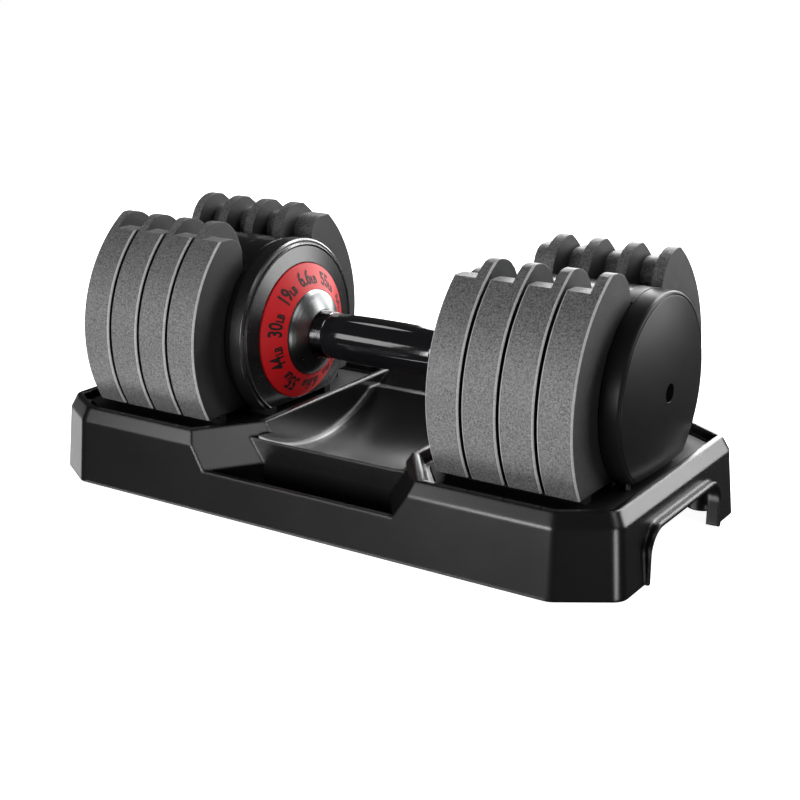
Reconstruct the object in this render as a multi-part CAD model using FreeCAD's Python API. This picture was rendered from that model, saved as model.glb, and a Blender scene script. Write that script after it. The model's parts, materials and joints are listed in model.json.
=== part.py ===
import FreeCAD, Part
import math
import os

os.makedirs("parts", exist_ok=True)
V = FreeCAD.Vector

# Adjustable dumbbell on its storage tray, millimetres.
# X runs along the dumbbell, Z is up, the origin is on the floor under the middle of the tray.
# Heights marked "rel" are measured from the dumbbell axis, the others from the floor.

AXIS_Z = 109.0           # height of the dumbbell axis above the floor
FLAT = -51.5             # rel height of the flat underside of plates, covers and caps

# tray
TRAY_HALF_L = 234.0
TRAY_HALF_W = 115.6
CORNER_X = 38.6          # corner cut along the length
CORNER_Y = 24.5          # corner cut along the width
TRAY_H = 57.0
BAND_Z = 47.4            # height where the sloped band starts
BAND_INSET = 3.85        # draft of the wall up to the band
CREST_INSET = 8.6        # inset at the top of the band
RIM_W = 4.0              # width of the level rim
WALL = 3.0               # wall thickness of the tray moulding
FLOOR_Z = 50.0           # floor of the plate banks
BANK_IN_TOP = 66.5       # inner end of a bank at the rim
BANK_IN_LOW = 72.0       # inner end of a bank at its floor
BANK_FLARE = 36.0        # run of the inner wall outward at the front
CORNER_R = 12.0          # rounding of the upright corner edges
FOOT_H = 1.0             # rubber foot below the tray edge
FOOT_R = 8.0
FEET = ((211.0, 88.0), (-211.0, 88.0), (211.0, -88.0), (-211.0, -88.0), (32.0, -92.0), (-32.0, -92.0))
ARCH_HALF_W = 57.0       # doorway in each end wall
ARCH_H = 35.0
ARCH_R = 16.0
ARCH_IN_X = 227.0        # inner end of the frame round the doorway
ARCH_LIP_X = 236.5       # outer end of the lip round the doorway
ARCH_LIP_T = 3.0         # thickness of the lip

# bay under the grip
BAY_HALF_L = 62.5        # half-length of the bay at the rim
BAY_FRONT_Y = -62.0      # where the side walls turn outward
BAY_REAR_Y = 84.0
TROUGH_R = 140.0
TROUGH_LOW_Z = 26.0
TROUGH_LIP_Z = 48.5
TROUGH_ROUND = 5.0       # hollow rounding where the trough meets its end walls
LIP_Y = -76.0            # front lip of the trough
LEDGE_Y = 103.0          # rear ledge reaches the rim here
FACET_SPLAY = 0.69       # outward run of the opening per millimetre toward the front
FACET_LEAN = 0.70        # inward run per millimetre of drop
FRONT_WALL_Z = 31.0      # top of the low front wall
POCKET_FLOOR_Z = 10.0
POCKET_FRONT_Y = 109.5

# plates
PLATE_R = 100.0
PLATE_COUNT = 4
PLATE_X = 95.5           # inner face of the first plate
PLATE_PITCH = 26.6
DISC_T = 16.5            # thick part of a plate
WEB_T = 7.8              # outer web of a plate
PLATE_TOP = 75.0         # rel height where the thick part is cut flat
RECESS_HALF_W = 42.0     # half-width of the recess for the spacer
TOP_ROUND = 13.0         # rounding of the inner top corners of the thick part
SLOT_HALF_W = 23.5       # half-width of the slot through the web
SLOT_TOP = 59.0          # rel height where the slot starts to flare
FLARE = (26.6, 71.0)     # point on the flare, (half-width, rel height)
HORN_ROOT = (34.0, 80.0)     # inner end of the round top of a horn
HORN_TOP = (47.5, 84.6)      # highest point of a horn
HORN_END = (66.0, 76.4)      # outer end of the round top
PLATE_BEVEL = 1.2
LUG_HALF_W = 6.0
LUG_TOP = -25.0
LUG_LOW = -31.0
LUG_LEN = 7.0
LUG_SLOT_HALF_W = 8.5    # half-width of the slot the lug drops into

# core
CORE_R = 66.0
CORE_HALF_W = 41.5       # half-width of a spacer inside the plate recess
NECK_HALF_W = 22.5       # half-width of a neck inside the web slot
GAP = 0.5                # clearance on each side of a web
TIE_Y = 14.0
TIE_Z = 52.0
TIE_R = 2.5
CAP_X = 200.1
CAP_R = 65.6
CAP_RIM_X = 214.3
CAP_TIP_X = 219.0
RECESS_R = 6.3           # centre recess of the cap
CAP_SEAT_X = 204.0       # seat of the centre bolt at the bottom of the recess
DOME_R = 61.4            # edge radius of the domed cap face
COVER_R = 67.8
COVER_RIM_X = 78.0
COVER_IN_X = 75.4
COVER_BORE_R = 64.2      # inside radius of the dial cover
COVER_SCREWS = ((52.0, 20.0), (-52.0, 20.0), (46.0, -32.0), (-46.0, -32.0))
HOUSING_X = 89.5         # inner face of the inner housing
HOUSING_END_X = 94.9     # outer face of the housing flange
ROD_R = 6.0
ROD_END_X = 196.0

# rotor
TUBE_R = 12.0
TUBE_IN_R = 8.5
TUBE_END_X = 190.8
HUB_BORE_R = 12.02       # bore of the parts fixed on the tube
BORE_R = 12.4            # free bore around the tube
BUSH_R = 15.0
FIT = 0.05               # running fit and small assembly clearance
GRIP_R = 17.6
GRIP_END_R = 16.6
GRIP_HALF_L = 46.0
FLUTE_COUNT = 6
FLUTE_HALF_L = 38.0
FLUTE_DEPTH = 1.3
FLUTE_HALF_W = 1.5
COLLAR_R = 17.9
COLLAR_LOW_R = 17.2
COLLAR_X = 55.5
RING_OUT_X = 74.3        # dial ring, outer edge
RING_OUT_R = 50.1
RING_IN_X = 64.3         # dial ring, inner edge
RING_IN_R = 32.0
RING_T = 2.6
SELECT_R = 38.0          # outer radius of a selector rim
SELECT_IN_R = 32.5
SELECT_DISC_T = 3.0
SELECT_HUB_R = 17.0
SELECT_BAY = 11.5        # depth of the space for a selector in the core
STEP = 36.0              # turn between two settings, degrees
INDEX_X = 79.5
INDEX_END_X = 88.9
INDEX_R = 38.0
INDEX_IN_R = 30.0
NOTCH_TOP_R = 34.3

# lock and detent
PIN_X = 94.75
PIN_R = 2.3
PIN_TOP = -22.0
SHOULDER_R = 3.6
SHOULDER_LOW = -47.0
SHOULDER_TOP = -45.0
SPRING_TOP = -33.0       # rel height of the fixed upper end of the spring
SPRING_R = 3.2
SPRING_WIRE_R = 0.45
PIN_BORE_R = 3.9
DETENT_X = 85.7          # detent barrel that clicks into the index wheel
DETENT_R = 4.0
BALL_R = 3.0
BALL_Y = 41.1

# cradle
CRADLE_X = (77.0, 217.0)
RAIL_TOP = 57.45         # rails end just under the plates
RAIL_Y = (34.0, 70.0)
RAIL_W = 7.0
RAIL_START = 95.0        # inner end of the outer rails
RAIL_END = 198.0         # outer end of all rails
FIN_TOP = 68.0
FIN_T = 1.3
FIN_Y = (50.0, 66.0)
CRADLE_SCREWS = ((84.0, 34.0), (84.0, -34.0), (208.0, 34.0), (208.0, -34.0))


def box(x0, x1, y0, y1, z0, z1):
    return Part.makeBox(x1 - x0, y1 - y0, z1 - z0, V(x0, y0, z0))


def rel_box(x0, x1, y0, y1, z0, z1):
    return box(x0, x1, y0, y1, z0 + AXIS_Z, z1 + AXIS_Z)


def rod(x0, x1, r, y=0.0, z=0.0):
    """Round bar along X, centred at y and rel height z."""
    return Part.makeCylinder(r, x1 - x0, V(x0, y, z + AXIS_Z), V(1, 0, 0))


def turned(profile):
    """Solid of revolution about the dumbbell axis from (x, radius) points."""
    points = [V(x, 0, AXIS_Z + r) for x, r in profile]
    face = Part.Face(Part.makePolygon(points + [points[0]]))
    return face.revolve(V(0, 0, AXIS_Z), V(1, 0, 0), 360)


def beveled_disc(x0, x1, r, c0, c1):
    return turned([(x0, 0), (x0, r - c0), (x0 + c0, r), (x1 - c1, r), (x1, r - c1), (x1, 0)])


def flat_bottom(shape):
    return shape.cut(rel_box(-300, 300, -150, 150, -150, FLAT))


def prism(x0, x1, outline):
    """Solid along X from a closed list of edges in the YZ plane at x0."""
    face = Part.Face(Part.Wire(Part.__sortEdges__(outline)))
    return face.extrude(V(x1 - x0, 0, 0))


def yz_line(x, a, b):
    return Part.LineSegment(V(x, a[0], a[1] + AXIS_Z), V(x, b[0], b[1] + AXIS_Z)).toShape()


def yz_arc(x, a, b, c):
    points = [V(x, p[0], p[1] + AXIS_Z) for p in (a, b, c)]
    return Part.Arc(*points).toShape()


def fine_arc(x, a, b, c, count):
    """Arc through three points as a run of short arcs."""
    curve = Part.Arc(*[V(x, p[0], p[1] + AXIS_Z) for p in (a, b, c)])
    step = (curve.LastParameter - curve.FirstParameter) / count
    cuts = [curve.FirstParameter + step * i for i in range(count + 1)]
    edges = []
    for u0, u1 in zip(cuts, cuts[1:]):
        middle = curve.value((u0 + u1) / 2)
        edges.append(Part.Arc(curve.value(u0), middle, curve.value(u1)).toShape())
    return edges


def web_x(k):
    """Inner face of the web of plate k."""
    return PLATE_X + PLATE_PITCH * (k - 1) + DISC_T


def neck_shape(x0, x1, half_w):
    """U-shaped bar with its round underside on the axis."""
    side = math.sqrt(CORE_R ** 2 - half_w ** 2)
    outline = [
        yz_arc(x0, (-half_w, 0), (0, -half_w), (half_w, 0)),
        yz_line(x0, (half_w, 0), (half_w, side)),
        yz_arc(x0, (half_w, side), (0, CORE_R), (-half_w, side)),
        yz_line(x0, (-half_w, side), (-half_w, 0)),
    ]
    return prism(x0, x1, outline)


def block_shape(x0, x1):
    """Spacer outline: upright sides, round top, flat bottom."""
    side = math.sqrt(CORE_R ** 2 - CORE_HALF_W ** 2)
    w = CORE_HALF_W
    outline = [
        yz_line(x0, (-w, FLAT), (w, FLAT)),
        yz_line(x0, (w, FLAT), (w, side)),
        yz_arc(x0, (w, side), (0, CORE_R), (-w, side)),
        yz_line(x0, (-w, side), (-w, FLAT)),
    ]
    return prism(x0, x1, outline)


def tie_holes(x0, x1, r):
    return rod(x0, x1, r, -TIE_Y, TIE_Z).fuse(rod(x0, x1, r, TIE_Y, TIE_Z))


# ---- plates

def slot_cut(x0, x1):
    """Everything above the web: the slot and the space over the rounded horns."""
    w = SLOT_HALF_W
    far = 130.0
    outline = [yz_arc(x0, (-w, 0), (0, -w), (w, 0))]
    for s in (1, -1):
        flare = (s * FLARE[0], FLARE[1])
        root = (s * HORN_ROOT[0], HORN_ROOT[1])
        top = (s * HORN_TOP[0], HORN_TOP[1])
        end = (s * HORN_END[0], HORN_END[1])
        side = (s * far, HORN_END[1])
        outline.append(yz_line(x0, (s * w, 0), (s * w, SLOT_TOP)))
        outline += fine_arc(x0, (s * w, SLOT_TOP), flare, root, 4)
        outline += fine_arc(x0, root, top, end, 9)
        outline.append(yz_line(x0, end, side))
        outline.append(yz_line(x0, side, (s * far, far)))
    outline.append(yz_line(x0, (far, far), (-far, far)))
    return prism(x0, x1, outline)


def corner_tool(x0, x1, s):
    """Removes the sharp inner top corner of the thick part, leaving it rounded."""
    w = RECESS_HALF_W
    r = TOP_ROUND
    q = r * (1 - math.sqrt(0.5))
    top = (s * (w + r), PLATE_TOP)
    side = (s * w, PLATE_TOP - r)
    above = (s * (w + r), PLATE_TOP + 1)
    corner = (s * (w - 1), PLATE_TOP + 1)
    within = (s * (w - 1), PLATE_TOP - r)
    outline = [
        yz_line(x0, corner, above),
        yz_line(x0, above, top),
        yz_line(x0, side, within),
        yz_line(x0, within, corner),
    ]
    outline += fine_arc(x0, top, (s * (w + q), PLATE_TOP - q), side, 6)
    return prism(x0, x1, outline)


def make_plate(k):
    x0 = PLATE_X + PLATE_PITCH * (k - 1)
    xw = web_x(k)
    x1 = xw + WEB_T
    disc = flat_bottom(beveled_disc(x0, x1, PLATE_R, PLATE_BEVEL, PLATE_BEVEL))
    disc = disc.cut(rel_box(x0 - 1, xw, -RECESS_HALF_W, RECESS_HALF_W, -80, 120))
    disc = disc.cut(rel_box(x0 - 1, xw, -120, 120, PLATE_TOP, 120))
    for s in (1, -1):
        disc = disc.cut(corner_tool(x0 - 1, xw, s))
    disc = disc.cut(slot_cut(xw - 0.01, x1 + 1))
    lug = rel_box(xw - LUG_LEN, xw + 1, -LUG_HALF_W, LUG_HALF_W, LUG_LOW, LUG_TOP)
    return disc.fuse(lug).removeSplitter()


# ---- core

def lug_slot(k):
    """Slot below the axis that the lug of plate k enters from underneath."""
    w = LUG_SLOT_HALF_W
    return rel_box(web_x(k) - LUG_LEN - 1, web_x(k) + 1, -w, w, -80, 0)


def make_inner_housing():
    xe = web_x(1) - GAP
    flange = flat_bottom(beveled_disc(HOUSING_X, HOUSING_END_X, CORE_R, 0.01, 0.6))
    body = flange.fuse(block_shape(HOUSING_END_X, xe))
    body = body.cut(rod(xe - SELECT_BAY, xe + 1, SELECT_R + 1))
    body = body.cut(lug_slot(1))
    body = body.cut(rod(HOUSING_X - 1, xe, BUSH_R))
    body = body.cut(tie_holes(HOUSING_X - 1, xe + 1, TIE_R + 0.1))
    bore = Part.makeCylinder(PIN_BORE_R, SPRING_TOP - FLAT + 1, V(PIN_X, 0, AXIS_Z + FLAT - 1))
    upper = Part.makeCylinder(PIN_R + 0.3, 22, V(PIN_X, 0, AXIS_Z + SPRING_TOP - 1))
    body = body.cut(bore).cut(upper.cut(rel_box(80, 120, -20, 20, PIN_TOP + 2, 0)))
    body = body.cut(rel_box(HOUSING_X - 1, PIN_X, -2.6, 2.6, -34, -23))
    for y, z in COVER_SCREWS:
        body = body.cut(rod(HOUSING_X - 1, HOUSING_END_X + 1, 1.7, y, z))
        body = body.cut(rod(HOUSING_END_X - 2.5, HOUSING_END_X + 1, 3.4, y, z))
    body = body.fuse(rel_box(82, HOUSING_X + 1, 44, 57, -6, 6))
    return body.cut(detent_bore()).removeSplitter()


def detent_bore():
    return Part.makeCylinder(DETENT_R + FIT, 12, V(DETENT_X, 43, AXIS_Z), V(0, 1, 0))


def make_detent():
    barrel = Part.makeCylinder(DETENT_R, 11, V(DETENT_X, 43.4, AXIS_Z), V(0, 1, 0))
    ball = Part.makeSphere(BALL_R, V(DETENT_X, BALL_Y, AXIS_Z))
    return barrel.fuse(ball)


def make_cover():
    groove_x = COVER_RIM_X - 1.5
    face_r = RING_OUT_R + 0.9
    outer = turned([
        (COVER_IN_X, 0), (COVER_IN_X, face_r), (COVER_RIM_X - 1.0, 62.6), (groove_x, 63.4),
        (groove_x, 64.0), (COVER_RIM_X, 64.8), (COVER_RIM_X, 66.6), (COVER_RIM_X + 1.2, COVER_R),
        (HOUSING_X - 0.8, COVER_R), (HOUSING_X, COVER_R - 0.8), (HOUSING_X, 0),
    ])
    face_in_x = COVER_IN_X + 3.1
    hollow = turned([
        (face_in_x, 0), (face_in_x, face_r), (COVER_RIM_X + 2.2, COVER_BORE_R),
        (HOUSING_X + 1, COVER_BORE_R), (HOUSING_X + 1, 0),
    ])
    hollow = hollow.cut(rel_box(50, 120, -90, 90, -90, FLAT + 3))
    cover = flat_bottom(outer).cut(hollow).cut(rod(50, 90, RING_OUT_R + 0.5))
    for y, z in COVER_SCREWS:
        boss = rod(COVER_IN_X + 3.5, HOUSING_X, 4.2, y, z).cut(rod(83, HOUSING_X + 1, 1.5, y, z))
        cover = cover.fuse(boss)
    return cover.removeSplitter()


def make_cover_screws():
    screws = []
    for y, z in COVER_SCREWS:
        head = rod(HOUSING_END_X - 2.4, HOUSING_END_X - 0.2, 3.1, y, z)
        screws.append(head.fuse(rod(84, HOUSING_END_X - 2.4, 1.4, y, z)))
    return Part.makeCompound(screws)


def make_spacer(k):
    xw = web_x(k)
    x0 = web_x(k - 1) + WEB_T + GAP
    x1 = xw - GAP
    body = block_shape(x0, x1).fuse(neck_shape(web_x(k - 1) - GAP, x0, NECK_HALF_W))
    body = body.cut(rod(x1 - SELECT_BAY, x1 + 1, SELECT_R + 1))
    body = body.cut(lug_slot(k))
    body = body.cut(rod(x0 - 20, x1 + 1, BORE_R))
    return body.cut(tie_holes(x0 - 20, x1 + 1, TIE_R + 0.1)).removeSplitter()


def make_end_cap():
    rim = CAP_RIM_X
    edge = rim + 0.3
    rise = CAP_TIP_X - edge
    ball_r = (rise ** 2 + DOME_R ** 2) / (2 * rise)
    side = turned([
        (CAP_X, 0), (CAP_X, CAP_R - 0.4), (CAP_X + 0.4, CAP_R), (rim - 1.9, CAP_R),
        (rim - 0.6, CAP_R - 0.6), (rim, CAP_R - 1.9), (rim - 0.5, DOME_R + 2.0),
        (rim - 0.5, DOME_R + 1.7), (rim + 0.1, DOME_R + 1.2), (edge, DOME_R), (edge, 0),
    ])
    ball = Part.makeSphere(ball_r, V(CAP_TIP_X - ball_r, 0, AXIS_Z))
    dome = ball.common(rod(rim - 1.5, CAP_TIP_X + 1, DOME_R))
    body = flat_bottom(side.fuse(dome))
    body = body.fuse(neck_shape(web_x(PLATE_COUNT) - GAP, CAP_X, NECK_HALF_W))
    body = body.cut(rod(CAP_SEAT_X, CAP_TIP_X + 1, RECESS_R)).cut(rod(180, CAP_SEAT_X + 1, 3.2))
    body = body.cut(rod(180, ROD_END_X, ROD_R + FIT))
    return body.cut(tie_holes(180, 210, TIE_R)).removeSplitter()


def make_tie_bolts():
    bolts = []
    for y in (-TIE_Y, TIE_Y):
        head = rod(HOUSING_X - 3.2, HOUSING_X, 4.6, y, TIE_Z)
        bolts.append(head.fuse(rod(HOUSING_X, 209, TIE_R - 0.05, y, TIE_Z)))
    return Part.makeCompound(bolts)


def make_cap_bolt():
    """Bolt with a hexagon socket that holds the cap to the centre rod."""
    head_x = CAP_SEAT_X + 3.4
    head = rod(CAP_SEAT_X, head_x, 5.4).fuse(rod(186, CAP_SEAT_X, 3.0))
    angles = [math.radians(60 * i) for i in range(7)]
    socket = [V(head_x + 0.6, 2.6 * math.cos(a), AXIS_Z + 2.6 * math.sin(a)) for a in angles]
    return head.cut(Part.Face(Part.makePolygon(socket)).extrude(V(-2.6, 0, 0)))


def make_centre_rod():
    bar = rod(-ROD_END_X, ROD_END_X, ROD_R)
    for s in (1, -1):
        hole = rod(180, ROD_END_X + 1, 3.0 + FIT)
        bar = bar.cut(hole if s > 0 else mirrored(hole))
    return bar


def mirrored(shape):
    return shape.mirror(V(0, 0, 0), V(1, 0, 0))


def make_bush():
    xe = web_x(1) - GAP - SELECT_BAY
    collar = rod(HOUSING_X - 0.01, xe, BUSH_R - 0.02)
    return collar.cut(rod(HOUSING_X - 1, xe + 1, TUBE_R + FIT))


# ---- lock

def make_lock_pin():
    pin = Part.makeCylinder(PIN_R, PIN_TOP - FLAT, V(PIN_X, 0, AXIS_Z + FLAT))
    low = V(PIN_X, 0, AXIS_Z + SHOULDER_LOW)
    shoulder = Part.makeCylinder(SHOULDER_R, SHOULDER_TOP - SHOULDER_LOW, low)
    tooth = rel_box(84, PIN_X, -1.9, 1.9, -29.3, -25.3)
    return pin.fuse(shoulder).fuse(tooth).removeSplitter()


def make_spring(z0, z1, turns):
    """Coil spring around the lock pin, ends level."""
    pitch = (z1 - z0 - 2 * SPRING_WIRE_R) / turns
    path = Part.makeHelix(pitch, pitch * turns, SPRING_R)
    wire = Part.Wire(Part.makeCircle(SPRING_WIRE_R, V(SPRING_R, 0, 0), V(0, 1, 0)))
    coil = Part.Wire(path).makePipeShell([wire], True, True)
    coil.translate(V(PIN_X, 0, AXIS_Z + z0 + SPRING_WIRE_R))
    return coil


# ---- rotor

def sector(x0, x1, r_in, r_out, start, sweep):
    """Part of a ring; angles from straight down, positive toward +Y."""
    ring = rod(x0, x1, r_out).cut(rod(x0 - 1, x1 + 1, r_in))
    far = 2 * r_out
    count = max(2, int(math.ceil(sweep / 45.0)) + 1)
    angles = [math.radians(start + sweep * i / (count - 1)) for i in range(count)]
    points = [V(x0 - 1, 0, AXIS_Z)]
    points += [V(x0 - 1, far * math.sin(a), AXIS_Z - far * math.cos(a)) for a in angles]
    wedge = Part.Face(Part.makePolygon(points + [points[0]])).extrude(V(x1 - x0 + 2, 0, 0))
    return ring.common(wedge)


def make_selector(k):
    """Disc with a rim that is open under the lug for every setting below k."""
    xw = web_x(k)
    x1 = xw - 1.0
    x0 = xw - 8.5
    hub = rod(x0 - SELECT_DISC_T, x1, SELECT_HUB_R)
    disc = rod(x0 - SELECT_DISC_T, x0, SELECT_R).fuse(hub)
    gap = STEP * k
    for half in (0, 180):
        start = half + gap - STEP / 2
        disc = disc.fuse(sector(x0 - 0.01, x1, SELECT_IN_R, SELECT_R, start, 180 - gap))
    return disc.cut(rod(x0 - 10, x1 + 1, HUB_BORE_R)).removeSplitter()


def make_index_wheel():
    wheel = rod(INDEX_X, INDEX_X + SELECT_DISC_T, INDEX_R)
    rim = rod(INDEX_X, INDEX_END_X, INDEX_R).cut(rod(INDEX_X - 1, INDEX_END_X + 1, INDEX_IN_R))
    wheel = wheel.fuse(rim).fuse(rod(INDEX_X, INDEX_END_X - 0.4, 16.0))
    notch = rel_box(INDEX_X + SELECT_DISC_T, INDEX_END_X + 1, -2.6, 2.6, -NOTCH_TOP_R, -INDEX_IN_R + 2)
    dimple = Part.makeSphere(BALL_R + 0.2, V(DETENT_X, BALL_Y - 0.8, AXIS_Z))
    for i in range(10):
        tool = notch.fuse(dimple).copy()
        tool.rotate(V(0, 0, AXIS_Z), V(1, 0, 0), STEP * i)
        wheel = wheel.cut(tool)
    return wheel.cut(rod(INDEX_X - 1, INDEX_END_X + 1, HUB_BORE_R))


def make_bell_hub():
    arc = [
        (COLLAR_X, 18.3), (COLLAR_X + 0.6, 19.6), (57.2, 21.8), (58.6, 24.2), (60.2, 26.8), (62.0, 29.4),
        (63.4, 31.0), (RING_IN_X + 0.3, 31.9),
    ]
    back = [
        (RING_IN_X + RING_T + 0.3, 31.9), (RING_OUT_X + RING_T, 49.3), (RING_OUT_X + 4.2, 49.3),
        (RING_OUT_X + 4.2, 44.0), (69.5, 28.0), (69.5, HUB_BORE_R), (COLLAR_X, HUB_BORE_R),
    ]
    return turned(arc + back)


def make_dial_ring():
    return turned([
        (RING_IN_X, RING_IN_R), (RING_OUT_X, RING_OUT_R), (RING_OUT_X + RING_T, RING_OUT_R),
        (RING_OUT_X + RING_T, 49.35), (RING_IN_X + RING_T + 0.3, RING_IN_R),
    ])


def make_collar():
    return turned([
        (GRIP_HALF_L, HUB_BORE_R), (GRIP_HALF_L, COLLAR_LOW_R - 0.4),
        (GRIP_HALF_L + 0.4, COLLAR_LOW_R), (COLLAR_X - 0.6, COLLAR_R),
        (COLLAR_X, COLLAR_R - 0.6), (COLLAR_X, HUB_BORE_R),
    ])


def flute_tool():
    """Thin lens whose V-shaped edge cuts one pointed flute along the grip."""
    r = FLUTE_HALF_L ** 2 / (2 * FLUTE_DEPTH)
    zc = GRIP_R - FLUTE_DEPTH + r
    reach = math.degrees(FLUTE_HALF_L * 1.3 / r)
    tip = zc - r
    scale = FLUTE_HALF_W / FLUTE_DEPTH
    depth = 3.0
    points = [V(0, 0, tip), V(0, scale * depth, tip + depth), V(0, -scale * depth, tip + depth)]
    face = Part.Face(Part.makePolygon(points + [points[0]]))
    face.rotate(V(0, 0, zc), V(0, 1, 0), -reach)
    tool = face.revolve(V(0, 0, zc), V(0, 1, 0), 2 * reach)
    tool.translate(V(0, 0, AXIS_Z))
    return tool


def make_grip():
    """Slightly barrel-shaped sleeve with long pointed flutes."""
    left = V(-GRIP_HALF_L, 0, AXIS_Z + GRIP_END_R)
    right = V(GRIP_HALF_L, 0, AXIS_Z + GRIP_END_R)
    left_in = V(-GRIP_HALF_L, 0, AXIS_Z + HUB_BORE_R)
    right_in = V(GRIP_HALF_L, 0, AXIS_Z + HUB_BORE_R)
    outline = [
        Part.Arc(left, V(0, 0, AXIS_Z + GRIP_R), right).toShape(),
        Part.makeLine(right, right_in),
        Part.makeLine(right_in, left_in),
        Part.makeLine(left_in, left),
    ]
    sleeve = Part.Face(Part.Wire(outline)).revolve(V(0, 0, AXIS_Z), V(1, 0, 0), 360)
    for i in range(FLUTE_COUNT):
        tool = flute_tool()
        tool.rotate(V(0, 0, AXIS_Z), V(1, 0, 0), 360.0 / FLUTE_COUNT * (i + 0.5))
        sleeve = sleeve.cut(tool)
    return sleeve


def make_tube():
    return rod(-TUBE_END_X, TUBE_END_X, TUBE_R).cut(rod(-TUBE_END_X - 1, TUBE_END_X + 1, TUBE_IN_R))


# ---- tray

def octagon(inset, z):
    """Corner points of the tray outline moved inward by inset."""
    lx = TRAY_HALF_L - inset
    ly = TRAY_HALF_W - inset
    n = math.hypot(CORNER_X, CORNER_Y)
    nx = CORNER_Y / n
    ny = CORNER_X / n
    c = nx * TRAY_HALF_L + ny * (TRAY_HALF_W - CORNER_Y) - inset
    y_end = (c - nx * lx) / ny
    x_end = (c - ny * ly) / nx
    quarter = [(lx, y_end), (x_end, ly)]
    ring = quarter + [(-x, y) for x, y in reversed(quarter)]
    ring = ring + [(-x, -y) for x, y in ring]
    return [V(x, y, z) for x, y in ring]


def loft(rings):
    wires = [Part.makePolygon(ring + [ring[0]]) for ring in rings]
    return Part.makeLoft(wires, True, True)


def round_corners(shape, r):
    """Round the upright edges of an eight-sided body."""
    edges = []
    for edge in shape.Edges:
        a = edge.Vertexes[0].Point
        b = edge.Vertexes[1].Point
        if abs(a.z - b.z) > 3:
            edges.append(edge)
    return shape.makeFillet(r, edges)


def tray_outer(grow, z0, z_top, r):
    low = loft([octagon(-grow, z0), octagon(BAND_INSET - grow, BAND_Z)])
    band = loft([octagon(BAND_INSET - grow, BAND_Z), octagon(CREST_INSET - grow, z_top)])
    return round_corners(low.fuse(band).removeSplitter(), r)


def bank_end(x, z):
    """Plan of the space outboard of a bank's inner wall, which turns outward at the front."""
    x_out = x + BANK_FLARE
    far = 300.0
    return [
        V(x, 200, z), V(x, BAY_FRONT_Y, z), V(x_out, -110, z), V(x_out, -200, z),
        V(far, -200, z), V(far, 200, z),
    ]


def bank(grow):
    """Sunk bank for four plates, right-hand side, enlarged by grow."""
    z0 = FLOOR_Z - grow
    z1 = TRAY_H + 1
    inset = CREST_INSET + RIM_W - grow
    body = loft([octagon(inset + 2.2, z0), octagon(inset, z1)])
    low = bank_end(BANK_IN_LOW - grow, z0)
    top = bank_end(BANK_IN_TOP - grow, z1)
    return body.common(loft([low, top]))


def facet_x(y, z):
    """Half-length of the opening at the front: its ends run outward and lean inward as they go down."""
    return BAY_HALF_L + (BAY_FRONT_Y - y) * FACET_SPLAY - (TRAY_H - z) * FACET_LEAN


def facet_ring(y_front, y_back, z, g):
    side = g * 1.35
    front = facet_x(y_front, z) + side
    back = facet_x(y_back, z) + side
    return [V(-back, y_back, z), V(-front, y_front, z), V(front, y_front, z), V(back, y_back, z)]


def front_opening(grow):
    """Space over the low front wall, between the leaning facets."""
    z0 = FRONT_WALL_Z
    z1 = TRAY_H + 1
    body = loft([facet_ring(-130, BAY_FRONT_Y, z0, grow), facet_ring(-130, BAY_FRONT_Y, z1, grow)])
    if grow:
        base = facet_ring(-130, BAY_FRONT_Y, z0, grow)
        body = body.fuse(Part.Face(Part.makePolygon(base + [base[0]])).extrude(V(0, 0, -grow)))
    return body.cut(box(-200, 200, LIP_Y + grow, 0, 0, TROUGH_LIP_Z - grow))


def pocket(grow):
    """Finger pocket behind the low front wall."""
    y0 = -POCKET_FRONT_Y - grow
    y1 = LIP_Y + grow
    z0 = POCKET_FLOOR_Z - grow
    top = facet_ring(y0, y1, FRONT_WALL_Z, grow)
    low = [V(p.x * 0.985, p.y, z0) for p in top]
    body = loft([low, top])
    return body.fuse(Part.Face(Part.makePolygon(top + [top[0]])).extrude(V(0, 0, 0.5)))


def bay(grow):
    """Dished trough and the open space between the banks."""
    side = BAY_HALF_L + grow
    z0 = TROUGH_LIP_Z - grow
    z1 = TRAY_H + 2
    upper = box(-side, side, BAY_FRONT_Y - 0.01, BAY_REAR_Y + grow, z0, z1)
    rear = [V(-side, BAY_REAR_Y, z0), V(-side, LEDGE_Y + grow, z1), V(-side, 60, z1), V(-side, 60, z0)]
    rear = Part.Face(Part.makePolygon(rear + [rear[0]])).extrude(V(2 * side, 0, 0))
    centre = V(-side, 0, TROUGH_LOW_Z + TROUGH_R)
    trough = Part.makeCylinder(TROUGH_R + grow, 2 * side, centre, V(1, 0, 0))
    rings = [edge for edge in trough.Edges if len(edge.Vertexes) == 1]
    trough = trough.makeFillet(TROUGH_ROUND + grow, rings)
    trough = trough.common(box(-side, side, LIP_Y - 0.5, BAY_REAR_Y + grow, 0, TROUGH_LIP_Z + 0.5))
    return upper.fuse(rear).fuse(trough)


def arch_wire(x, half_w, top, r):
    """Outline of a round-cornered doorway in the YZ plane."""
    q = r * (1 - math.sqrt(0.5))
    low = -10.0
    return Part.Wire([
        Part.makeLine(V(x, -half_w, low), V(x, -half_w, top - r)),
        Part.Arc(V(x, -half_w, top - r), V(x, -half_w + q, top - q), V(x, -half_w + r, top)).toShape(),
        Part.makeLine(V(x, -half_w + r, top), V(x, half_w - r, top)),
        Part.Arc(V(x, half_w - r, top), V(x, half_w - q, top - q), V(x, half_w, top - r)).toShape(),
        Part.makeLine(V(x, half_w, top - r), V(x, half_w, low)),
        Part.makeLine(V(x, half_w, low), V(x, -half_w, low)),
    ])


def arch_block(grow):
    """Body of a doorway through the end wall, enlarged by grow."""
    wire = arch_wire(ARCH_IN_X, ARCH_HALF_W + grow, ARCH_H + grow, ARCH_R + grow)
    return Part.Face(wire).extrude(V(ARCH_LIP_X - ARCH_IN_X, 0, 0))


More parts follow.
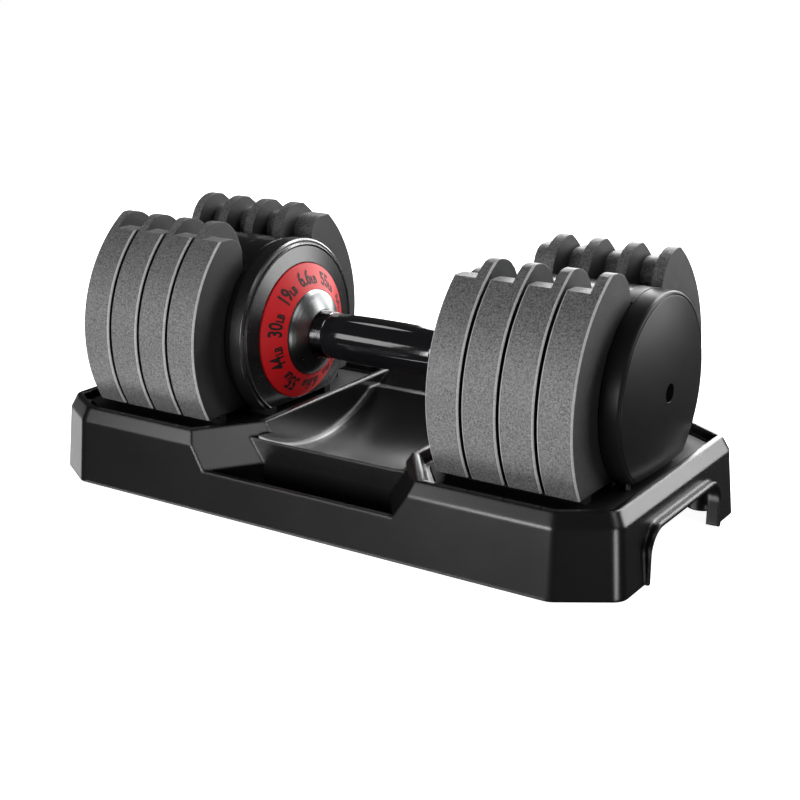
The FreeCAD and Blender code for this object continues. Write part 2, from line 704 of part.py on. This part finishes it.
def with_doorway(shell):
    """Cut the doorway in the right-hand end wall and turn its edge outward as a lip."""
    lip = arch_block(ARCH_LIP_T).cut(box(200, 250, -200, 200, -50, FOOT_H))
    shell = shell.fuse(lip)
    hole = arch_block(0.0)
    return shell.cut(hole).cut(hole.translated(V(2.0, 0, 0)))


def make_tray():
    outer = tray_outer(0.0, FOOT_H, TRAY_H, CORNER_R)
    inside = tray_outer(-WALL, FOOT_H - 1, TRAY_H - WALL, CORNER_R - WALL)
    bank_wall = bank(WALL)
    inside = inside.cut(bank_wall).cut(mirrored(bank_wall))
    inside = inside.cut(bay(WALL)).cut(pocket(WALL)).cut(front_opening(WALL))
    frame = box(ARCH_IN_X, 250, -ARCH_HALF_W - 6, ARCH_HALF_W + 6, 0, ARCH_H + 6)
    inside = inside.cut(frame).cut(mirrored(frame))
    for x, y in FEET:
        inside = inside.cut(Part.makeCylinder(FOOT_R + 2.5, 80, V(x, y, 0)))
    recess = bank(0.0)
    shell = outer.cut(inside).cut(recess).cut(mirrored(recess))
    shell = shell.cut(bay(0.0)).cut(pocket(0.0)).cut(front_opening(0.0))
    shell = mirrored(with_doorway(mirrored(with_doorway(shell))))
    for s in (1, -1):
        for x, y in CRADLE_SCREWS:
            shell = shell.cut(Part.makeCylinder(2.0, 60, V(s * x, y, 0)))
    for x, y in FEET:
        shell = shell.cut(Part.makeCylinder(FOOT_R + FIT, 2.0, V(x, y, FOOT_H - 1.0)))
    return shell.removeSplitter()


def make_feet():
    return Part.makeCompound([Part.makeCylinder(FOOT_R, 2.0, V(x, y, 0)) for x, y in FEET])


def make_tray_screws():
    screws = []
    floor = FLOOR_Z - WALL
    for s in (1, -1):
        for x, y in CRADLE_SCREWS:
            head = Part.makeCylinder(3.4, 2.2, V(s * x, y, floor - 2.2))
            screws.append(head.fuse(Part.makeCylinder(1.6, 9.0, V(s * x, y, floor))))
    return Part.makeCompound(screws)


def make_cradle():
    """Insert of one bank: base sheet, four rails, dividers between the plates, post for the lock pin."""
    x0 = CRADLE_X[0]
    x1 = CRADLE_X[1]
    base = box(x0, x1, -92, 92, FLOOR_Z, FLOOR_Z + 1.6)
    corner = [V(x1 + 1, 92.1, 0), V(x1 + 1, 78, 0), V(x1 - 22, 92.1, 0)]
    for s in (1, -1):
        points = [V(p.x, s * p.y, FLOOR_Z - 1) for p in corner]
        base = base.cut(Part.Face(Part.makePolygon(points + [points[0]])).extrude(V(0, 0, 10)))
    front = [V(x0 - 1, -62, FLOOR_Z - 1), V(x0 - 1, -93, FLOOR_Z - 1), V(x0 + 24, -93, FLOOR_Z - 1)]
    base = base.cut(Part.Face(Part.makePolygon(front + [front[0]])).extrude(V(0, 0, 10)))
    body = base
    for y in RAIL_Y:
        for s in (1, -1):
            y0 = s * y - RAIL_W / 2
            start = x0 if y < 60 else RAIL_START
            body = body.fuse(box(start, RAIL_END, y0, y0 + RAIL_W, FLOOR_Z, RAIL_TOP))
    for k in range(1, PLATE_COUNT):
        x = web_x(k) + WEB_T + (PLATE_PITCH - DISC_T - WEB_T) / 2
        for s in (1, -1):
            y0, y1 = sorted((s * FIN_Y[0], s * FIN_Y[1]))
            body = body.fuse(box(x - FIN_T / 2, x + FIN_T / 2, y0, y1, FLOOR_Z, FIN_TOP))
            body = body.fuse(box(x - 3, x + 3, y0, y1, FLOOR_Z, RAIL_TOP - 0.6))
    body = body.fuse(Part.makeCylinder(3.2, RAIL_TOP - FLOOR_Z, V(PIN_X, 0, FLOOR_Z)))
    for x, y in CRADLE_SCREWS:
        body = body.cut(Part.makeCylinder(1.6 + FIT, 7.0, V(x, y, FLOOR_Z - 0.5)))
    return body.removeSplitter()


def export(name, shape):
    if not shape.isValid():
        print("INVALID", name)
    shape.exportStep("parts/" + name + ".step")


def export_pair(name, shape):
    export(name + "_right", shape)
    export(name + "_left", mirrored(shape))


for k in range(1, PLATE_COUNT + 1):
    plate = make_plate(k)
    selector = make_selector(k)
    export("plate_right_%d" % k, plate)
    export("plate_left_%d" % k, mirrored(plate))
    export("selector_right_%d" % k, selector)
    export("selector_left_%d" % k, mirrored(selector))
for k in range(2, PLATE_COUNT + 1):
    spacer = make_spacer(k)
    export("spacer_right_%d" % k, spacer)
    export("spacer_left_%d" % k, mirrored(spacer))
export_pair("dial_cover", make_cover())
export_pair("cover_screws", make_cover_screws())
export_pair("inner_housing", make_inner_housing())
export_pair("detent", make_detent())
export_pair("end_cap", make_end_cap())
export_pair("tie_bolts", make_tie_bolts())
export_pair("cap_bolt", make_cap_bolt())
export_pair("bush", make_bush())
export_pair("lock_pin", make_lock_pin())
export_pair("lock_spring", make_spring(SHOULDER_TOP, SPRING_TOP, 6))
export_pair("index_wheel", make_index_wheel())
export_pair("bell_hub", make_bell_hub())
export_pair("dial_ring", make_dial_ring())
export_pair("collar", make_collar())
export("centre_rod", make_centre_rod())
export("grip", make_grip())
export("grip_tube", make_tube())
export("tray_shell", make_tray())
export("tray_feet", make_feet())
export("tray_screws", make_tray_screws())
export_pair("cradle", make_cradle())
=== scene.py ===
import bpy
import bmesh
import json
import math
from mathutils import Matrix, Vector


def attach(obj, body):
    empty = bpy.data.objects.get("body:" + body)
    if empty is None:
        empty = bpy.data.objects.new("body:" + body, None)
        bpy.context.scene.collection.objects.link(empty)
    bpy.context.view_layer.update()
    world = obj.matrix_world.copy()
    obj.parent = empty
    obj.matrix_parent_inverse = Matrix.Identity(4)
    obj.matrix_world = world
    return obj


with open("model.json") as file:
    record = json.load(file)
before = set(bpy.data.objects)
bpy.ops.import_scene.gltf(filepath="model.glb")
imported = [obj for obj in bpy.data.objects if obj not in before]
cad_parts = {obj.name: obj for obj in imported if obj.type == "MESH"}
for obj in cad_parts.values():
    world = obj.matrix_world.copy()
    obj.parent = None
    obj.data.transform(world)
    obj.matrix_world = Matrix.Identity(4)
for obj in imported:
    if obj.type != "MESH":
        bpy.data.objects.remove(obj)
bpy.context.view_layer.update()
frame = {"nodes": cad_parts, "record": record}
scene = bpy.context.scene

AXIS_Z = 0.109                  # height of the dumbbell's own axis

# dials, in metres; a place on a dial's cone is (distance from the middle, radius)
RING_IN = (0.0643, 0.0320)
RING_OUT = (0.0743, 0.0501)
STEP = math.radians(36.0)
LABELS = ("6.6", "19", "30", "44", "55", "6.6", "19", "30", "44", "55")
UNIT = "LB"
FIGURE_H = 0.0112
FIGURE_SQUEEZE = 0.72
UNIT_H = 0.0058
UNIT_SQUEEZE = 0.8
LABEL_GAP = 0.0005              # between the figures and the unit
PRINT_LIFT = 0.00003            # underside of the print over the cone
PRINT_T = 0.00018               # top of the print over the cone
CAPITAL_SHARE = 0.72            # height of a capital letter over the font size
STROKE_GROW = 0.00035
WELD_SHARE = 0.002              # points closer than this share of the height become one
FLAT_ANGLE = 0.01

# plates: dark and pale speck of the rim, a much darker copy of it on the faces as painted shade,
# and a grey painted highlight along the edges
RIM_DARK = (0.010, 0.010, 0.011)
RIM_PALE = (0.190, 0.190, 0.193)
# faces: a far darker copy of the rim speckle on the same coat, painted shade
FACE_SHADE_DARK = (0.006, 0.006, 0.0065)
FACE_SHADE_PALE = (0.018, 0.018, 0.019)
# grey of the painted highlight along the plate edges
PAINTED_HIGHLIGHT_DARK = 0.28
PAINTED_HIGHLIGHT_PALE = 0.50
PLATE_EDGE = 0.0010
PLATE_GRAIN = 0.00045

# edges that look rounded
TRAY_EDGE = 0.0028
SMALL_EDGE = 0.0006

# stage and camera
FLOOR_HALF = 30.0
FLOOR_GLOW = 0.95
REFLECTED_GREY = 0.05
LENS = 68.27
CLIP = (0.05, 200.0)
CAMERA_PLACE = (0.5820, -0.8757, 0.3947)
CAMERA_DOWN = 0.302
CAMERA_TURN = 0.577


# ---- material helpers

def new_material(name, colour, roughness, metallic=0.0, specular=0.5):
    mat = bpy.data.materials.new(name)
    mat.use_nodes = True
    tree = mat.node_tree
    shader = tree.nodes["Principled BSDF"]
    shader.inputs["Base Color"].default_value = (*colour, 1.0)
    shader.inputs["Roughness"].default_value = roughness
    shader.inputs["Metallic"].default_value = metallic
    shader.inputs["Specular IOR Level"].default_value = specular
    return mat, tree, shader


def node(tree, kind, **values):
    item = tree.nodes.new(kind)
    for key, value in values.items():
        if key in item.inputs:
            item.inputs[key].default_value = value
        else:
            setattr(item, key, value)
    return item


def object_coords(tree):
    return node(tree, "ShaderNodeTexCoord").outputs["Object"]


def noise(tree, scale, detail=3.0, rough=0.5, vector=None):
    tex = node(tree, "ShaderNodeTexNoise", Scale=scale, Detail=detail, Roughness=rough)
    tree.links.new(vector or object_coords(tree), tex.inputs["Vector"])
    return tex.outputs["Fac"]


def ramp(tree, source, stops):
    item = node(tree, "ShaderNodeValToRGB")
    while len(item.color_ramp.elements) < len(stops):
        item.color_ramp.elements.new(0.5)
    for element, (place, value) in zip(item.color_ramp.elements, stops):
        element.position = place
        element.color = (*value, 1.0) if isinstance(value, tuple) else (value, value, value, 1.0)
    tree.links.new(source, item.inputs["Fac"])
    return item.outputs["Color"]


def math_node(tree, operation, a, b=None):
    item = node(tree, "ShaderNodeMath", operation=operation)
    for socket, value in zip(item.inputs, (a, b)):
        if value is None:
            continue
        if isinstance(value, (int, float)):
            socket.default_value = value
        else:
            tree.links.new(value, socket)
    return item.outputs[0]


def bump(tree, shader, height, distance, strength=1.0, normal=None):
    item = node(tree, "ShaderNodeBump", Strength=strength, Distance=distance)
    tree.links.new(height, item.inputs["Height"])
    if normal is not None:
        tree.links.new(normal, item.inputs["Normal"])
    tree.links.new(item.outputs["Normal"], shader.inputs["Normal"])


def round_edges(tree, radius):
    """Shading normal that rounds sharp edges by the given radius."""
    return node(tree, "ShaderNodeBevel", samples=6, Radius=radius).outputs["Normal"]


def plastic(name, tone, gloss, grain, specular=0.5, edge=0.0):
    """Moulded plastic: slight cloud in tone and gloss, fine grain given as (scale, depth)."""
    mat, tree, shader = new_material(name, tone[0], gloss[0], specular=specular)
    cloud = noise(tree, 14.0, 4.0)
    colour = ramp(tree, cloud, [(0.3, tone[0]), (0.7, tone[1])])
    tree.links.new(colour, shader.inputs["Base Color"])
    haze = noise(tree, 40.0, 5.0, 0.6)
    roughness = ramp(tree, haze, [(0.2, gloss[0]), (0.8, gloss[1])])
    tree.links.new(roughness, shader.inputs["Roughness"])
    normal = round_edges(tree, edge) if edge else None
    scale, depth = grain
    bump(tree, shader, noise(tree, scale, 2.0), depth, normal=normal)
    return mat


def metal(name, tone, gloss, stretch=(1.0, 1.0, 1.0), grain=(500.0, 0.00004)):
    """Bare or plated metal; the stretch draws its grain out into turning lines."""
    mat, tree, shader = new_material(name, tone[0], gloss[0], metallic=1.0)
    mapping = node(tree, "ShaderNodeMapping", Scale=stretch)
    tree.links.new(object_coords(tree), mapping.inputs["Vector"])
    scale, depth = grain
    lines = noise(tree, scale, 3.0, 0.6, mapping.outputs["Vector"])
    colour = ramp(tree, lines, [(0.3, tone[0]), (0.7, tone[1])])
    tree.links.new(colour, shader.inputs["Base Color"])
    roughness = ramp(tree, lines, [(0.3, gloss[0]), (0.7, gloss[1])])
    tree.links.new(roughness, shader.inputs["Roughness"])
    bump(tree, shader, lines, depth)
    return mat


def mixed(tree, factor, a, b):
    item = node(tree, "ShaderNodeMix", data_type="RGBA")
    tree.links.new(factor, item.inputs["Factor"])
    for socket, value in ((item.inputs["A"], a), (item.inputs["B"], b)):
        if isinstance(value, tuple):
            socket.default_value = (*value, 1.0)
        else:
            tree.links.new(value, socket)
    return item.outputs["Result"]


def plate_material():
    """Cast plate: speckled coat, with the faces painted darker than the rim as painted shade,
    and a painted highlight along the edges.
    """
    mat, tree, shader = new_material("plate_coat", (0.06, 0.06, 0.062), 0.5)
    coords = node(tree, "ShaderNodeTexCoord")
    split = node(tree, "ShaderNodeSeparateXYZ")
    tree.links.new(coords.outputs["Normal"], split.inputs["Vector"])
    side = math_node(tree, "ABSOLUTE", split.outputs["X"])
    # mask from the normal: pale rim against faces that take the darker painted-shade copy
    rim = ramp(tree, side, [(0.75, 1.0), (0.95, 0.0)])
    # band where the normal turns between face and rim, the mask for the painted highlight
    edge = ramp(tree, side, [(0.50, 0.0), (0.62, 1.0), (0.80, 1.0), (0.90, 0.0)])
    grain = noise(tree, 700.0, 4.0, 0.8, coords.outputs["Object"])
    fine = noise(tree, 1700.0, 2.0, 0.6, coords.outputs["Object"])
    coarse_part = math_node(tree, "MULTIPLY", grain, 0.6)
    fine_part = math_node(tree, "MULTIPLY", fine, 0.4)
    speck = math_node(tree, "ADD", coarse_part, fine_part)
    tone = ramp(tree, speck, [(0.38, RIM_DARK), (0.62, RIM_PALE)])
    # the faces take the darker copy of the speckle: painted shade on one coat
    face = ramp(tree, speck, [(0.36, FACE_SHADE_DARK), (0.64, FACE_SHADE_PALE)])
    coat = mixed(tree, rim, face, tone)
    # pale speckled grey mixed in along the edges: a painted highlight
    painted_edge_highlight = ramp(tree, speck, [(0.36, PAINTED_HIGHLIGHT_DARK), (0.60, PAINTED_HIGHLIGHT_PALE)])
    tree.links.new(mixed(tree, edge, coat, painted_edge_highlight), shader.inputs["Base Color"])
    cloud = noise(tree, 60.0, 4.0, 0.5, coords.outputs["Object"])
    tree.links.new(ramp(tree, cloud, [(0.3, 0.42), (0.7, 0.52)]), shader.inputs["Roughness"])
    bump(tree, shader, speck, PLATE_GRAIN, 0.9, normal=round_edges(tree, PLATE_EDGE))
    return mat


# slot: material name, (low, high) tone, (low, high) roughness, grain, then the options
PLASTICS = {
    "tray_plastic": ("tray_plastic_black", ((0.0030, 0.0030, 0.0032), (0.0042, 0.0042, 0.0044)),
                     (0.24, 0.27), (900.0, 0.000005), 0.5, TRAY_EDGE),
    "cradle_plastic": ("cradle_plastic_black", ((0.0025, 0.0025, 0.0025), (0.004, 0.004, 0.004)),
                       (0.5, 0.62), (1200.0, 0.00006), 0.2),
    "foot_rubber": ("foot_rubber_black", ((0.015, 0.015, 0.015), (0.028, 0.028, 0.028)),
                    (0.7, 0.85), (1500.0, 0.0001), 0.3),
    "grip_plastic": ("grip_gloss_black", ((0.005, 0.005, 0.006), (0.008, 0.008, 0.009)),
                     (0.06, 0.10), (700.0, 0.000004), 0.6, SMALL_EDGE),
    "dial_red": ("dial_red_satin", ((0.50, 0.006, 0.010), (0.56, 0.009, 0.013)),
                 (0.42, 0.5), (1600.0, 0.00002), 0.25),
    "core_plastic": ("core_gloss_black", ((0.004, 0.004, 0.0045), (0.006, 0.006, 0.0065)),
                     (0.18, 0.24), (800.0, 0.00001), 0.5, SMALL_EDGE),
    "cap_plastic": ("cap_satin_black", ((0.009, 0.009, 0.0095), (0.012, 0.012, 0.0125)),
                    (0.30, 0.35), (1100.0, 0.00001), 0.16, SMALL_EDGE),
    "cover_plastic": ("cover_gloss_black", ((0.005, 0.005, 0.0055), (0.007, 0.007, 0.0075)),
                      (0.24, 0.29), (800.0, 0.00001), 0.9, SMALL_EDGE),
}
SMOOTH = (120.0, 0.000004)
UNSTRETCHED = (1.0, 1.0, 1.0)
METALS = {
    "zinc_steel": ("zinc_plate", ((0.42, 0.43, 0.45), (0.6, 0.6, 0.62)), (0.25, 0.4)),
    "collar_steel": ("collar_dark_chrome", ((0.10, 0.10, 0.105), (0.12, 0.12, 0.125)),
                     (0.12, 0.16), UNSTRETCHED, SMOOTH),
    "hub_plastic": ("hub_dark_chrome", ((0.13, 0.135, 0.135), (0.15, 0.155, 0.155)),
                    (0.27, 0.30), UNSTRETCHED, SMOOTH),
    "bar_steel": ("bar_turned", ((0.45, 0.45, 0.46), (0.62, 0.62, 0.63)),
                  (0.2, 0.35), (1.0, 0.02, 0.02), (1500.0, 0.00004)),
    "bush_bronze": ("bush_bronze_turned", ((0.45, 0.28, 0.12), (0.62, 0.42, 0.2)), (0.25, 0.4)),
    "selector_steel": ("selector_phosphate", ((0.10, 0.10, 0.105), (0.17, 0.17, 0.175)),
                       (0.4, 0.55)),
    "spring_steel": ("spring_wire", ((0.45, 0.45, 0.46), (0.6, 0.6, 0.6)), (0.2, 0.3)),
    "pin_steel": ("pin_hardened", ((0.4, 0.4, 0.42), (0.55, 0.55, 0.57)), (0.2, 0.32)),
}
materials = {"plate_iron": plate_material()}
materials.update({slot: plastic(*values) for slot, values in PLASTICS.items()})
materials.update({slot: metal(*values) for slot, values in METALS.items()})
slot_of = {entry["node"]: entry["material_slot"] for entry in frame["record"]["subparts"]}
for name, obj in frame["nodes"].items():
    obj.data.materials.clear()
    obj.data.materials.append(materials[slot_of[name]])


# ---- printed figures on the two dials

def text_mesh(text, height, squeeze):
    """Flat text as (vertices, faces), left end at zero, baseline at zero."""
    curve = bpy.data.curves.new("text", "FONT")
    curve.body = text
    curve.size = height / CAPITAL_SHARE
    curve.resolution_u = 3
    curve.offset = STROKE_GROW
    obj = bpy.data.objects.new("text", curve)
    scene.collection.objects.link(obj)
    graph = bpy.context.evaluated_depsgraph_get()
    mesh = bpy.data.meshes.new_from_object(obj.evaluated_get(graph))
    bm = bmesh.new()
    bm.from_mesh(mesh)
    bmesh.ops.remove_doubles(bm, verts=bm.verts, dist=height * WELD_SHARE)
    bmesh.ops.dissolve_limit(bm, angle_limit=FLAT_ANGLE, verts=bm.verts, edges=bm.edges)
    bmesh.ops.triangulate(bm, faces=bm.faces)
    verts = [(v.co.x * squeeze, v.co.y) for v in bm.verts]
    faces = [[v.index for v in face.verts] for face in bm.faces]
    bm.free()
    bpy.data.objects.remove(obj)
    bpy.data.curves.remove(curve)
    bpy.data.meshes.remove(mesh)
    return verts, faces


def on_dial(side, angle, u, v, lift):
    """Point on the dial cone; u runs clockwise as read, v outward, lift off the surface."""
    slope = math.hypot(RING_OUT[0] - RING_IN[0], RING_OUT[1] - RING_IN[1])
    along = (RING_OUT[0] - RING_IN[0]) / slope
    outward = (RING_OUT[1] - RING_IN[1]) / slope
    s = slope * 0.5 + v
    radius = RING_IN[1] + outward * s + along * lift
    x = RING_IN[0] + along * s - outward * lift
    turn = angle - (u / (0.5 * (RING_IN[1] + RING_OUT[1]))) * (1 if side < 0 else -1)
    return (side * x, -math.sin(turn) * radius, AXIS_Z + math.cos(turn) * radius)


def print_label(bm, side, angle, text):
    """One setting: tall figures and a small unit after them."""
    figures, figure_faces = text_mesh(text, FIGURE_H, FIGURE_SQUEEZE)
    unit, unit_faces = text_mesh(UNIT, UNIT_H, UNIT_SQUEEZE)
    width = max(x for x, y in figures)
    whole = width + LABEL_GAP + max(x for x, y in unit)
    start = -whole / 2
    for verts, faces, shift in ((figures, figure_faces, start),
                                (unit, unit_faces, start + width + LABEL_GAP)):
        places = [(x + shift, y - FIGURE_H / 2) for x, y in verts]
        low = [bm.verts.new(on_dial(side, angle, u, v, PRINT_LIFT)) for u, v in places]
        top = [bm.verts.new(on_dial(side, angle, u, v, PRINT_T)) for u, v in places]
        count = {}
        for face in faces:
            for i, j in zip(face, face[1:] + face[:1]):
                count[(i, j)] = count.get((i, j), 0) + 1
        for face in faces:
            bm.faces.new([top[i] for i in face])
            bm.faces.new([low[i] for i in reversed(face)])
        for i, j in count:
            if (j, i) not in count:
                bm.faces.new([low[i], low[j], top[j], top[i]])


def dial_print(name, side):
    """All ten labels of one dial, as one thin mesh that turns with the grip."""
    bm = bmesh.new()
    for i, text in enumerate(LABELS):
        print_label(bm, side, i * STEP, text)
    bmesh.ops.recalc_face_normals(bm, faces=bm.faces)
    mesh = bpy.data.meshes.new(name)
    bm.to_mesh(mesh)
    bm.free()
    mesh.materials.append(ink)
    obj = bpy.data.objects.new(name, mesh)
    scene.collection.objects.link(obj)
    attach(obj, "selector_rotor")


ink = plastic("dial_ink_black", ((0.012, 0.008, 0.008), (0.020, 0.010, 0.010)),
              (0.5, 0.6), (900.0, 0.00001), 0.2)
dial_print("dial_figures_right", 1)
dial_print("dial_figures_left", -1)


# ---- stage, light, camera

def floor_mesh():
    """Plain white floor, left out of reflections so that the black plastic stays black."""
    mesh = bpy.data.meshes.new("floor")
    bm = bmesh.new()
    bmesh.ops.create_grid(bm, x_segments=8, y_segments=8, size=FLOOR_HALF)
    bm.to_mesh(mesh)
    bm.free()
    obj = bpy.data.objects.new("floor", mesh)
    scene.collection.objects.link(obj)
    mat, tree, shader = new_material("floor_white", (0.9, 0.9, 0.9), 0.8, specular=0.1)
    tone = ramp(tree, noise(tree, 3.0), [(0.3, 0.89), (0.7, 0.91)])
    tree.links.new(tone, shader.inputs["Base Color"])
    shader.inputs["Emission Color"].default_value = (1.0, 1.0, 1.0, 1.0)
    shader.inputs["Emission Strength"].default_value = FLOOR_GLOW
    obj.visible_glossy = False
    obj.visible_diffuse = False
    obj.visible_shadow = False
    mesh.materials.append(mat)


def area_light(name, place, target, size_x, size_y, power):
    data = bpy.data.lights.new(name, "AREA")
    data.shape = "RECTANGLE"
    data.size = size_x
    data.size_y = size_y
    data.energy = power
    obj = bpy.data.objects.new(name, data)
    obj.location = place
    direction = Vector(target) - Vector(place)
    obj.rotation_euler = direction.to_track_quat("-Z", "Y").to_euler()
    scene.collection.objects.link(obj)


def make_world():
    """White to the eye, dim grey in reflections, so that the lights shape the black surfaces."""
    world = bpy.data.worlds.new("studio")
    scene.world = world
    world.use_nodes = True
    tree = world.node_tree
    background = tree.nodes["Background"]
    path = node(tree, "ShaderNodeLightPath")
    mix = node(tree, "ShaderNodeMix", data_type="RGBA")
    tree.links.new(path.outputs["Is Camera Ray"], mix.inputs["Factor"])
    mix.inputs["A"].default_value = (REFLECTED_GREY, REFLECTED_GREY, REFLECTED_GREY, 1.0)
    mix.inputs["B"].default_value = (1.0, 1.0, 1.0, 1.0)
    tree.links.new(mix.outputs["Result"], background.inputs["Color"])
    background.inputs["Strength"].default_value = 1.0


def make_camera():
    data = bpy.data.cameras.new("camera")
    data.sensor_width = 36.0
    data.lens = LENS
    data.clip_start, data.clip_end = CLIP
    obj = bpy.data.objects.new("camera", data)
    obj.location = CAMERA_PLACE
    obj.rotation_euler = (math.pi / 2 - CAMERA_DOWN, 0.0, CAMERA_TURN)
    scene.collection.objects.link(obj)
    scene.camera = obj


# name, place, what it points at, width, height, power in watts
LIGHTS = (
    ("key_front", (-0.40, -1.9, 0.28), (0.0, 0.0, 0.10), 0.9, 0.7, 34.0),
    ("key_left", (-1.15, -1.50, 0.62), (0.0, 0.0, 0.09), 0.5, 0.6, 5.0),
    ("floor_bounce", (-0.60, -0.78, -0.78), (0.0, 0.0, 0.10), 1.0, 0.5, 9.0),
    ("back_wide", (-0.15, 1.45, 0.55), (0.1, 0.0, 0.08), 1.3, 0.9, 24.0),
    ("left_glow", (-1.7, 0.45, -0.35), (-0.1, 0.0, 0.05), 0.6, 0.6, 1.6),
    ("back_right", (1.2, 1.2, 0.24), (0.1, 0.0, 0.08), 0.9, 0.65, 10.0),
    ("rim_right", (0.95, 1.3, 0.75), (0.2, 0.0, 0.06), 0.6, 0.5, 10.0),
    ("top_back", (0.2, 1.3, 1.35), (0.0, 0.0, 0.1), 1.0, 0.5, 30.0),
    ("side_right", (1.5, -0.25, 1.25), (0.1, 0.0, 0.08), 0.8, 0.8, 6.5),
    ("edge_right", (1.6, -0.70, -0.25), (0.1, 0.0, 0.12), 0.5, 0.5, 7.0),
)
floor_mesh()
make_world()
make_camera()
for light in LIGHTS:
    area_light(*light)
scene.view_settings.view_transform = "Standard"
